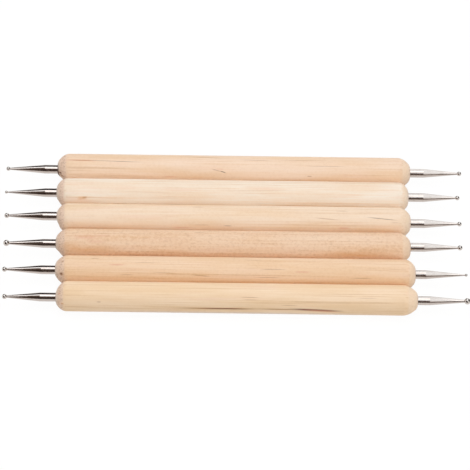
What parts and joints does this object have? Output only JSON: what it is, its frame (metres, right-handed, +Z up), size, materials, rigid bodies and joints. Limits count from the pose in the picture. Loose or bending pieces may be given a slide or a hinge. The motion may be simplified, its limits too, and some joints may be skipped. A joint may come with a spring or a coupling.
{
  "type": "embossing stylus",
  "caption": "Slim round wooden handles lying in a row, each with tapered steel needles that end in small polished balls, for embossing, dotting and tracing.",
  "frame": {"origin": "middle of the row's footprint on the table, with the outermost balls equally far away on both sides", "axes": "+X along the handles to the picture's right, +Y away from the viewer across the row, +Z up from the table"},
  "size_m": [0.131, 0.0524, 0.0089],
  "materials": {
    "handle_wood": "bare sanded birch, fine pale grain, matt",
    "needle_steel": "ground and polished steel",
    "ball_steel": "mirror-polished steel"
  },
  "bodies": {
    "stylus_1": {"stylus_1_handle": "handle_wood", "stylus_1_left_needle": "needle_steel", "stylus_1_left_ball": "ball_steel", "stylus_1_right_needle": "needle_steel", "stylus_1_right_ball": "ball_steel"},
    "stylus_2": {"stylus_2_handle": "handle_wood", "stylus_2_left_needle": "needle_steel", "stylus_2_left_ball": "ball_steel", "stylus_2_right_needle": "needle_steel", "stylus_2_right_ball": "ball_steel"},
    "stylus_3": {"stylus_3_handle": "handle_wood", "stylus_3_left_needle": "needle_steel", "stylus_3_left_ball": "ball_steel", "stylus_3_right_needle": "needle_steel", "stylus_3_right_ball": "ball_steel"},
    "stylus_4": {"stylus_4_handle": "handle_wood", "stylus_4_left_needle": "needle_steel", "stylus_4_left_ball": "ball_steel", "stylus_4_right_needle": "needle_steel", "stylus_4_right_ball": "ball_steel"},
    "stylus_5": {"stylus_5_handle": "handle_wood", "stylus_5_left_needle": "needle_steel", "stylus_5_left_ball": "ball_steel", "stylus_5_right_needle": "needle_steel", "stylus_5_right_ball": "ball_steel"},
    "stylus_6": {"stylus_6_handle": "handle_wood", "stylus_6_left_needle": "needle_steel", "stylus_6_left_ball": "ball_steel", "stylus_6_right_needle": "needle_steel", "stylus_6_right_ball": "ball_steel"}
  },
  "joints": [
    {"name": "lift_2", "type": "slide", "parent": "stylus_1", "child": "stylus_2", "axis": [0, 0, 1], "range_m": [0, 0.03]},
    {"name": "lift_3", "type": "slide", "parent": "stylus_1", "child": "stylus_3", "axis": [0, 0, 1], "range_m": [0, 0.03]},
    {"name": "lift_4", "type": "slide", "parent": "stylus_1", "child": "stylus_4", "axis": [0, 0, 1], "range_m": [0, 0.03]},
    {"name": "lift_5", "type": "slide", "parent": "stylus_1", "child": "stylus_5", "axis": [0, 0, 1], "range_m": [0, 0.03]},
    {"name": "lift_6", "type": "slide", "parent": "stylus_1", "child": "stylus_6", "axis": [0, 0, 1], "range_m": [0, 0.03]}
  ]
}
